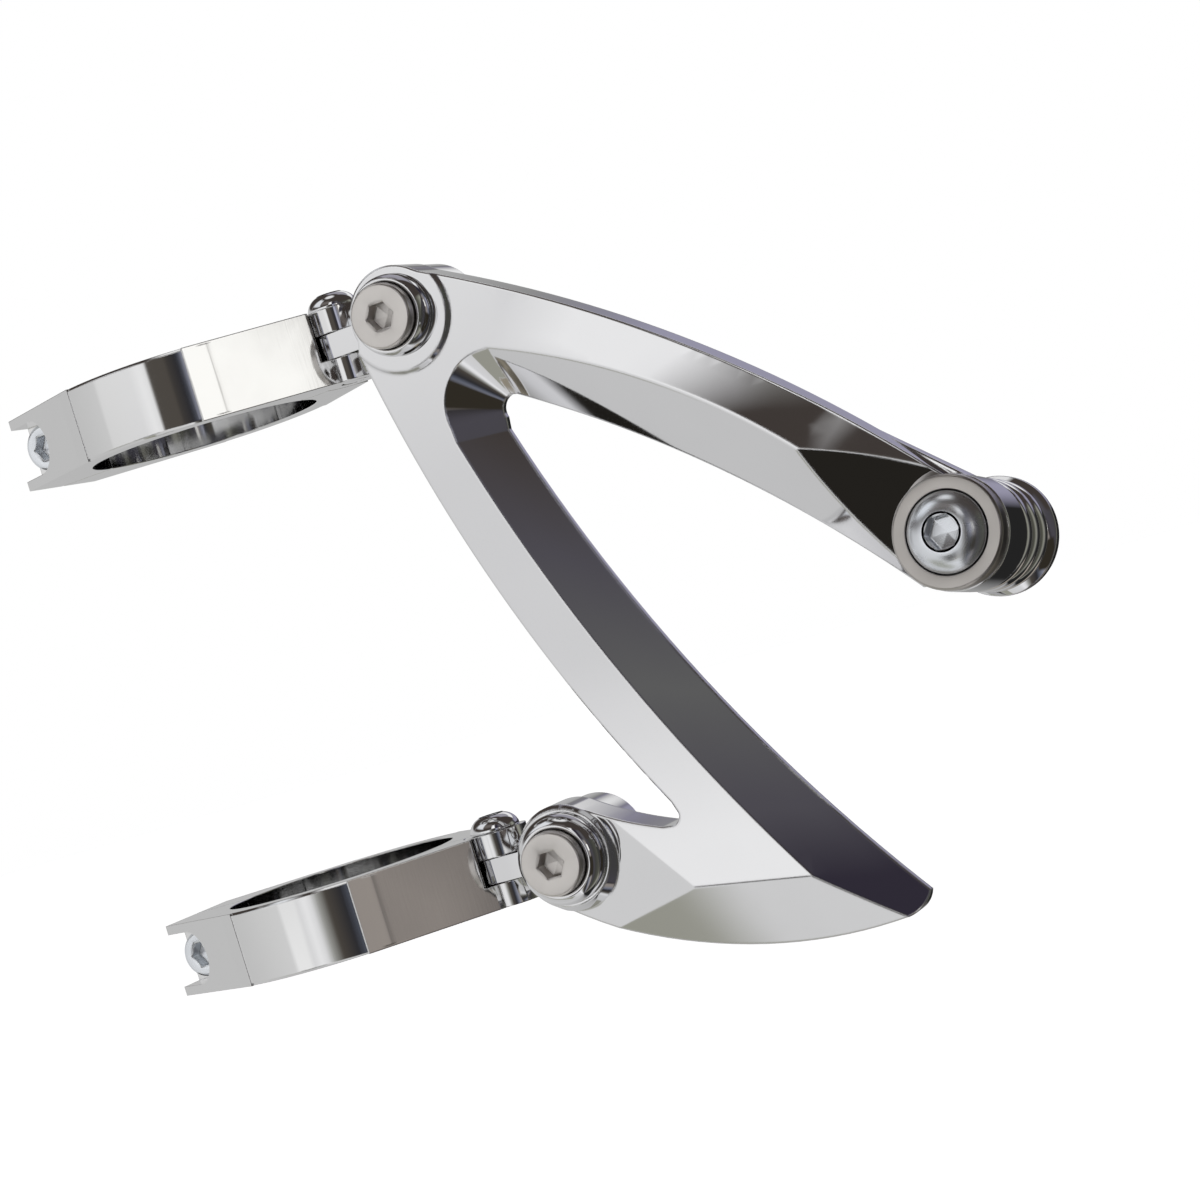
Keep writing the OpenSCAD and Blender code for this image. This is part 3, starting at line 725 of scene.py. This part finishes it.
@dataclass
class TurnedPiece:
    """A piece made on a lathe, with the hexagon, thread or knurl that some of its rows carry.

    Attributes:
        name: Name of the piece.
        spindle: Where it stands.
        outline: Radius and height of each row, in millimetres.
        ring: Whether the outline closes on itself round a bore, and not on the axis at both ends.
        hexed: For each row, how much of a hexagon it is, from 0 round to 1 with its radius at the corners.
        thread: For each row, the depth of the screw thread in millimetres.
        knurl: For each row, the depth of the knurl in millimetres.
        pitch: Rise of the thread in one turn, in millimetres.
        segments: Points round the axis.
    """

    name: str
    spindle: Spindle
    outline: np.ndarray
    ring: bool = False
    hexed: np.ndarray | None = None
    thread: np.ndarray | None = None
    knurl: np.ndarray | None = None
    pitch: float = 1.5
    segments: int = 96

    def points(self) -> np.ndarray:
        """All points of the grid, row by row.

        The radius is the row's own. On a hexed row it is the corners' radius times the cosine of 30 degrees
        over the cosine of the angle from the middle of the side. A thread adds its depth times a triangle
        wave between -0.5 and 0.5 of height / pitch - angle / full turn. A knurl takes off its depth times
        half of 1 + the cosine of its teeth times the angle.

        Returns:
            Points in metres.
        """
        rows = len(self.outline)
        nothing = np.zeros(rows)
        hexed, thread, knurl = (nothing if v is None else v for v in (self.hexed, self.thread, self.knurl))
        angle = np.linspace(0.0, 2 * math.pi, self.segments, endpoint=False)[None, :]
        radius, height = self.outline[:, :1], self.outline[:, 1:]
        sixth = math.pi / 3
        side = math.cos(sixth / 2) / np.cos(angle % sixth - sixth / 2)
        grid = radius * (1.0 + hexed[:, None] * (side - 1.0))
        phase = (height / self.pitch - angle / (2 * math.pi)) % 1.0
        wave = np.abs(2.0 * phase - 1.0) - 0.5
        grid = grid + thread[:, None] * wave - knurl[:, None] * 0.5 * (1.0 + np.cos(KNURL_TEETH * angle))
        return self.spindle.place(grid, angle + 0.0 * radius, height + 0.0 * angle)

    def build(self) -> bpy.types.Object:
        """Makes the mesh: quads between the rows, and a fan at each end that meets the axis.

        Returns:
            The object, at the origin with its place in its mesh.
        """
        points = self.points()
        rows, n = len(self.outline), self.segments
        column = np.arange(n)
        after = (column + 1) % n
        row = np.arange(rows if self.ring else rows - 1)[:, None]
        following = (row + 1) % rows
        quads = np.stack([row * n + column, row * n + after, following * n + after, following * n + column],
                         axis=-1).reshape(-1, 4)
        faces = quads.tolist()
        corners = np.concatenate([quads[:, [0, 1, 2]], quads[:, [0, 2, 3]]])
        if not self.ring:
            ends = points.reshape(rows, n, 3)[[0, -1]].mean(axis=1)
            points = np.concatenate([points, ends])
            first = np.stack([np.full(n, rows * n), after, column], axis=-1)
            base = (rows - 1) * n
            last = np.stack([np.full(n, rows * n + 1), base + column, base + after], axis=-1)
            faces += first.tolist() + last.tolist()
            corners = np.concatenate([corners, first, last])
        a, b, c = (points[corners[:, k]] for k in range(3))
        if np.einsum("ij,ij->i", a, np.cross(b, c)).sum() < 0:
            faces = [face[::-1] for face in faces]
        mesh = bpy.data.meshes.new(self.name)
        mesh.from_pydata(points.tolist(), [], faces)
        mesh.shade_smooth()
        mesh.set_sharp_from_angle(angle=math.radians(CRISP_TURNED))
        piece = bpy.data.objects.new(self.name, mesh)
        bpy.context.scene.collection.objects.link(piece)
        return piece


@dataclass
class Screw:
    """A screw with a hexagon socket, its head towards lower heights. Its sizes are in millimetres.

    Attributes:
        name: Name of the piece.
        spindle: Its axis, with height 0 where the head sits.
        head: Form of the head.
        head_r: Radius of the head.
        head_h: Height of the head.
        socket: Width of the hexagon across its flats.
        socket_depth: Depth of the socket.
        stations: Radius and height of each corner of the shank, from the head to the tip. The last three
            are the end of the full shank, the tip's chamfer and its middle.
        thread_from: Height where the thread starts, or None.
        thread_depth: Depth of the thread.
        pitch: Pitch of the thread.
        flip: -1 where the head points to greater heights.
        rim: Share of a button head's height that stands straight, below the dome.
    """

    name: str
    spindle: Spindle
    head: HeadForm
    head_r: float
    head_h: float
    socket: float
    socket_depth: float
    stations: list[tuple[float, float]]
    thread_from: float | None = None
    thread_depth: float = 0.8
    pitch: float = 1.5
    flip: int = 1
    rim: float = 0.16

    def socket_line(self) -> np.ndarray:
        """Outline of the socket, from the drill's point out to the corners and up to the mouth.

        Returns:
            Radius and height of each point. The last two belong to the rounded mouth.
        """
        top, corner = -self.head_h, self.socket / math.sqrt(3)
        floor = top + self.socket_depth
        return np.array([(corner * 0.02, floor + 0.5), (corner * 0.86, floor), (corner * 0.94, floor - 0.05),
                         (corner, floor - 0.15), (corner, top + MOUTH * 0.6),
                         (corner + 0.04, top + MOUTH * 0.45), (corner + MOUTH * 0.7, top + 0.04),
                         (corner + MOUTH, top)])

    def head_line(self) -> list[tuple[float, float]]:
        """Outline of the head's outside.

        Returns:
            Radius and height of each corner, from the flat round the socket to the seat.
        """
        top = -self.head_h
        if self.head is HeadForm.BUTTON:
            rim = -self.rim * self.head_h
            dome = dome_line((0.42 * self.head_r, top), (0.82 * self.head_r, rim + 0.62 * (top - rim)),
                             (self.head_r, rim))
            return dome + [(self.head_r, 0.0)]
        edge = 0.35 if self.head is HeadForm.LOW else 0.5
        return [(self.head_r - edge, top), (self.head_r, top + edge), (self.head_r, -0.25),
                (self.head_r - 0.25, 0.0)]

    def cut_thread(self, shank: np.ndarray) -> tuple[np.ndarray, np.ndarray]:
        """Puts a thread's rows into the shank.

        The thread grows over its first turn and fades towards the chamfer of the tip. Its rows lie half its
        depth under the crest, and the grid's triangle wave swings by as much either way.

        Args:
            shank: Radius and height of each point of the plain shank.

        Returns:
            The points with the thread's rows among them, and the depth of the thread at each.
        """
        begin = self.thread_from
        crest, end = self.stations[-3]
        heights = np.arange(begin, end, self.pitch / THREAD_ROWS)
        fade_in = np.clip((heights - begin) / self.pitch, 0.0, 1.0)
        fade_out = np.clip((end - heights) / self.pitch + 0.4, 0.0, 1.0)
        depth = self.thread_depth * (fade_in * fade_out)
        rows = np.stack([crest - 0.5 * depth, heights], axis=1)
        before, after = shank[shank[:, 1] < begin], shank[shank[:, 1] >= end]
        depths = np.concatenate([np.zeros(len(before)), depth, np.zeros(len(after))])
        return np.concatenate([before, rows, after]), depths

    def build(self) -> bpy.types.Object:
        """Makes the screw as one closed surface, from the socket's floor out over the head to the tip.

        Returns:
            The object.
        """
        socket = self.socket_line()
        outside = rounded([tuple(socket[-1])] + self.head_line() + self.stations[:1], 0.3)[1:]
        shank = rounded(self.stations, 0.2)
        depths = np.zeros(len(shank))
        if self.thread_from is not None:
            shank, depths = self.cut_thread(shank)
        outline = np.concatenate([socket, outside, shank])
        hexed, knurl = np.zeros(len(outline)), np.zeros(len(outline))
        hexed[:len(socket)] = [1.0] * (len(socket) - 2) + [0.35, 0.0]
        segments = 96
        if self.head is HeadForm.KNURLED:
            radius, height = outline.T
            side = (radius > self.head_r - 0.02) & (height < -0.3) & (height > 0.5 - self.head_h)
            knurl[side] = KNURL_DEPTH
            segments = 4 * KNURL_TEETH
        outline[:, 1] *= self.flip
        thread = np.concatenate([np.zeros(len(outline) - len(shank)), depths])
        return TurnedPiece(self.name, self.spindle, outline, hexed=hexed, thread=thread, knurl=knurl,
                           pitch=self.pitch, segments=segments).build()


def hand_over(piece: bpy.types.Object, body: str, node: str, slot: str, spindle: Spindle) -> None:
    """Dresses a turned piece, lets it ride on a body and puts it in place of a CAD node.

    Args:
        piece: The piece.
        body: Name of the body that carries it.
        node: Name of the node that it stands for, and of its material.
        slot: The record's slot that its finish belongs to.
        spindle: The axis that it was turned on.
    """
    if slot in STEELS:
        piece.data.materials.append(turned_material(node, STEELS[slot], spindle))
    else:
        piece.data.materials.append(chrome_material(node, PLATES[slot]))
    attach(piece, body)
    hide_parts(node)
    LOG.info("%s: %d faces, %s, rides on %s", piece.name, len(piece.data.polygons), slot, body)


@dataclass
class ClampJoint:
    """The screws, collar and cap bolt of one clamp and its link.

    Its sizes are in millimetres. A seat, a face or an end is a place along +Y.

    Attributes:
        level: Name of the level, upper or lower.
        z: Height of the clamp's middle.
        collar_r: Radius of the domed collar.
        half_h: Half of the clamp's height.
        hinge_x: Distance from the clamp's axis to the hinge.
        eye_x: Distance from the clamp's axis to the cap bolt.
        pinch_x: Distance from the clamp's axis to the pinch screw.
        pinch_seat: Where the pinch screw's head sits.
        pinch_end: Where the pinch screw ends.
        pinch_air: Air under the pinch screw's head, so that its seat doesn't touch the jaw when posed.
        collar_seat: Where the collar touches the arm's pad.
        collar_h: Height of the collar.
        sleeve_r: Radius of the collar's sleeve.
        link_face: Outer face of the link's eye.
        link_end: Inner face of the link's eye.
        cap_proud: Height of the cap bolt's head above the collar.
        cap_r: Radius of the cap bolt's head.
        cap_h: Height of the cap bolt's head.
        cap_shank: Radius of the cap bolt's shank.
    """

    level: str
    z: float
    collar_r: float
    half_h: float = 7.7
    hinge_x: float = 37.8
    eye_x: float = 60.0
    pinch_x: float = 30.6
    pinch_seat: float = -6.4
    pinch_end: float = 11.5
    pinch_air: float = 0.02
    collar_seat: float = -18.7
    collar_h: float = 3.9
    sleeve_r: float = 5.94
    link_face: float = -8.4
    link_end: float = 1.2
    cap_proud: float = 2.4
    cap_r: float = 6.5
    cap_h: float = 5.0
    cap_shank: float = 3.95

    def build_hinge_screw(self) -> None:
        """The button screw that the jaw and the link turn on."""
        spindle = Spindle((self.hinge_x, 0.0, self.z + self.half_h), Axis.CLAMP)
        name = f"{self.level}_hinge_screw"
        tip = 2 * self.half_h
        screw = Screw(name + "_turned", spindle, HeadForm.BUTTON, head_r=5.25, head_h=3.3, socket=4.0,
                      socket_depth=2.1, stations=[(2.95, 0.0), (2.95, tip - 0.6), (2.35, tip), (0.1, tip)],
                      flip=-1)
        hand_over(screw.build(), f"{self.level}_jaw", name, "chrome_small", spindle)

    def build_pinch_screw(self) -> None:
        """The socket screw, with a knurled head, that pinches the clamp shut."""
        spindle = Spindle((-self.pinch_x, self.pinch_seat - self.pinch_air, self.z))
        name = f"{self.level}_pinch_screw"
        tip = self.pinch_end - self.pinch_seat
        screw = Screw(name + "_turned", spindle, HeadForm.KNURLED, head_r=5.0, head_h=6.0, socket=5.0,
                      socket_depth=3.0, stations=[(2.9, 0.0), (2.9, tip - 0.6), (2.3, tip), (0.1, tip)],
                      thread_from=7.6, thread_depth=0.45, pitch=1.0)
        hand_over(screw.build(), f"{self.level}_pinch", name, "zinc", spindle)

    def build_cap_bolt(self) -> None:
        """The low-headed bolt that holds the arm on the link."""
        seat = self.collar_seat - self.collar_h - self.cap_proud + self.cap_h
        spindle = Spindle((self.eye_x, seat, self.z))
        name = f"{self.level}_cap_bolt"
        shank, tip = self.cap_shank, self.link_end - seat
        screw = Screw(name + "_turned", spindle, HeadForm.LOW, head_r=self.cap_r, head_h=self.cap_h,
                      socket=5.0, socket_depth=3.0, thread_from=12.0, thread_depth=0.5, pitch=1.25,
                      stations=[(shank, 0.0), (shank, tip - 0.7), (shank - 0.7, tip), (0.1, tip)])
        hand_over(screw.build(), f"{self.level}_link", name, "satin_bolt", spindle)

    def build_collar(self) -> None:
        """The domed collar and its sleeve, with a fine groove round the foot of the dome."""
        spindle = Spindle((self.eye_x, self.collar_seat, self.z))
        name = f"{self.level}_collar"
        bore_r, pocket_r = self.cap_shank + 0.12, self.cap_r + 0.25
        flat, top = self.cap_r + 0.75, -self.collar_h
        pocket = top - self.cap_proud + self.cap_h
        end = self.link_face - self.collar_seat
        dome = dome_line((self.collar_r, -0.5), (self.collar_r - (self.collar_r - flat) * 0.28, top * 0.66),
                         (flat + 0.1, top))
        corners = [(bore_r, pocket), (bore_r, end), (self.sleeve_r, end), (self.sleeve_r, 0.0),
                   (self.collar_r - 0.4, 0.0)]
        corners += dome + [(pocket_r, top), (pocket_r, pocket)]
        outline = rounded(corners + corners[:1], 0.18)[:-1]
        collar = TurnedPiece(name + "_turned", spindle, outline, ring=True, segments=128)
        hand_over(collar.build(), f"{self.level}_link", name, "chrome_small", spindle)

    def build(self) -> None:
        """Makes all of the level's turned pieces."""
        self.build_hinge_screw()
        self.build_pinch_screw()
        self.build_cap_bolt()
        self.build_collar()


@dataclass
class BoltStack:
    """The headlight bolt with its washers and rings, all on one tilted axis. Its sizes are in millimetres.

    Attributes:
        origin: Point where the axis meets the outer face of the arm's boss.
        tilt: Dip of the axis inboard, in degrees.
        cup_t: Thickness of the cup washer.
        cup_r: Radius of the cup washer.
        cup_depth: Depth of its seat for the bolt's head.
        cup_mouth: Radius of that seat where it opens.
        cup_foot: Radius of that seat at its bottom.
        boss_t: Thickness of the arm's boss.
        spacer_r: Radius of a spacer ring.
        spacer_t: Thickness of a spacer ring.
        flange_r: Radius of the flange washer.
        flange_t: Thickness of the flange washer.
        shoulder_r: Radius of the bolt's shoulder.
        thread_r: Radius of the bolt's thread.
        thread_end: How far the bolt stands out beyond the flange washer.
        groove_w: Width of the groove between shoulder and thread.
    """

    origin: tuple[float, float, float] = (154.6, -14.4, -73.1)
    tilt: float = 7.5
    cup_t: float = 3.6
    cup_r: float = 10.8
    cup_depth: float = 1.8
    cup_mouth: float = 8.05
    cup_foot: float = 7.9
    boss_t: float = 11.4
    spacer_r: float = 10.9
    spacer_t: float = 5.0
    flange_r: float = 11.7
    flange_t: float = 3.4
    shoulder_r: float = 5.5
    thread_r: float = 4.9
    thread_end: float = 16.0
    groove_w: float = 1.0

    @property
    def spindle(self) -> Spindle:
        """The tilted axis."""
        return Spindle(self.origin, tilt=self.tilt)

    def washer(self, name: str, corners: list[tuple[float, float]], slot: str, fillet: float) -> None:
        """Makes a ring and hands it over.

        Args:
            name: Name of the node that it stands for.
            corners: Radius and height of each corner of its section.
            slot: The record's slot of its finish.
            fillet: How far from a corner its rounding begins.
        """
        outline = rounded(corners + corners[:1], fillet)[:-1]
        piece = TurnedPiece(name + "_turned", self.spindle, outline, ring=True, segments=160)
        hand_over(piece.build(), "arm", name, slot, self.spindle)

    def build_washers(self) -> None:
        """The cup washer under the head, the three spacer rings and the flange washer at the end."""
        bore, foot = self.shoulder_r + 0.15, self.cup_depth - self.cup_t
        cup = [(bore + 0.05, 0.0), (self.cup_r, 0.0), (self.cup_r, 0.4 - self.cup_t),
               (self.cup_r - 0.4, -self.cup_t), (self.cup_mouth, -self.cup_t), (self.cup_foot, foot),
               (bore + 0.05, foot)]
        self.washer("cup_washer", cup, "satin_washer", 0.16)
        for index, name in enumerate(("spacer_ring_outer", "spacer_ring_middle", "spacer_ring_inner")):
            low = self.boss_t + index * self.spacer_t
            rim = dome_line((self.spacer_r - 1.2, low), (self.spacer_r, low + self.spacer_t / 2),
                            (self.spacer_r - 1.2, low + self.spacer_t))
            self.washer(name, [(bore, low)] + rim + [(bore, low + self.spacer_t)], "chrome_small", 0.12)
        low = self.boss_t + 3 * self.spacer_t
        top, edge = low + self.flange_t, self.flange_r
        flange = [(bore, low), (edge - 1.6, low), (edge, low + 1.2), (edge, top - 0.4), (edge - 0.4, top),
                  (bore, top)]
        self.washer("flange_washer", flange, "chrome_small", 0.2)

    def build_bolt(self) -> None:
        """The domed bolt: shoulder through the boss and the washers, groove, and thread."""
        seat = self.cup_depth - self.cup_t
        shoulder = self.boss_t + 3 * self.spacer_t + self.flange_t
        half = self.groove_w / 2
        root, end = self.thread_r - 0.7, shoulder + self.thread_end
        reach = [(self.shoulder_r, 0.0), (self.shoulder_r, shoulder - half - seat),
                 (root, shoulder - half - seat + 0.2), (root, shoulder + half - seat),
                 (self.thread_r, shoulder + half - seat + 0.2), (self.thread_r, end - 1 - seat),
                 (self.thread_r - 1, end - seat), (0.1, end - seat)]
        on_axis = np.zeros(1)
        under_head = self.spindle.place(on_axis, on_axis, np.array([seat]))[0] / MM
        spindle = Spindle(tuple(under_head), tilt=self.tilt)
        screw = Screw("headlight_bolt_turned", spindle, HeadForm.BUTTON, head_r=7.8, head_h=4.8, socket=6.0,
                      socket_depth=3.2, stations=reach, thread_from=shoulder + half - seat + 0.3,
                      thread_depth=0.85, pitch=1.5, rim=0.36)
        hand_over(screw.build(), "arm", "headlight_bolt", "zinc", spindle)

    def build(self) -> None:
        """Makes the bolt and its washers."""
        self.build_washers()
        self.build_bolt()


@dataclass
class Floor:
    """The plain pale floor under the bracket.

    Attributes:
        z: Its height, in metres.
        half: Half of its side, in metres.
        shade: How light it is.
        base: Light of its own that the camera sees, so that it blends into the white.
    """

    z: float = -0.19
    half: float = 3.0
    shade: float = 0.86
    base: float = 0.83

    def build(self) -> None:
        """Lays one square; it takes the bracket's shadow, and the metal mirrors the studio instead of it."""
        side, z = self.half, self.z
        mesh = bpy.data.meshes.new("floor")
        mesh.from_pydata([(-side, -side, z), (side, -side, z), (side, side, z), (-side, side, z)], [],
                         [(0, 1, 2, 3)])
        floor = bpy.data.objects.new("floor", mesh)
        bpy.context.scene.collection.objects.link(floor)
        material, nodes = new_material("floor")
        matt = nodes.add("BsdfDiffuse")
        matt.inputs[0].default_value = (self.shade, self.shade, self.shade, 1.0)
        glow = nodes.add("Emission")
        to_camera = nodes.add("LightPath").outputs["Is Camera Ray"]
        nodes.wire(nodes.math("MULTIPLY", to_camera, self.base), glow.inputs[1])
        both = nodes.add("AddShader")
        nodes.wire(matt.outputs[0], both.inputs[0])
        nodes.wire(glow.outputs[0], both.inputs[1])
        nodes.wire(both.outputs[0], nodes.add("OutputMaterial").inputs[0])
        mesh.materials.append(material)
        floor.visible_glossy = False


# Words in the names of the nodes that turned pieces stand for.
REPLACED = ("hinge_screw", "pinch_screw", "cap_bolt", "collar", "washer", "headlight_bolt", "spacer_ring")


def finish_nodes(frame: dict) -> None:
    """Gives each CAD node that stays the finish of its slot and smooth shading with crisp edges.
    """
    slots = {part["node"]: part["material_slot"] for part in frame["record"]["subparts"]}
    smooth = smoothing_group("smooth_facets", CRISP_NODE)
    made: dict[str, bpy.types.Material] = {}
    for name, node in frame["nodes"].items():
        if any(word in name for word in REPLACED):
            continue
        slot = slots[name]
        if slot not in made:
            made[slot] = chrome_material(slot, PLATES[slot])
        node.data.materials.clear()
        node.data.materials.append(made[slot])
        node.modifiers.new("smooth", "NODES").node_group = smooth
        LOG.info("%s: %s", name, slot)


def main() -> None:
    """Builds the whole scene."""
    logging.basicConfig(level=logging.INFO, format="%(name)s: %(message)s")
    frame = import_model()
    ViewPoint().build()
    build_world()
    Floor().build()
    finish_nodes(frame)
    ClampJoint("upper", z=0.0, collar_r=8.2).build()
    ClampJoint("lower", z=-112.0, collar_r=9.2).build()
    BoltStack().build()
    bpy.context.scene.view_settings.view_transform = "Standard"


if __name__ == "__main__":
    main()
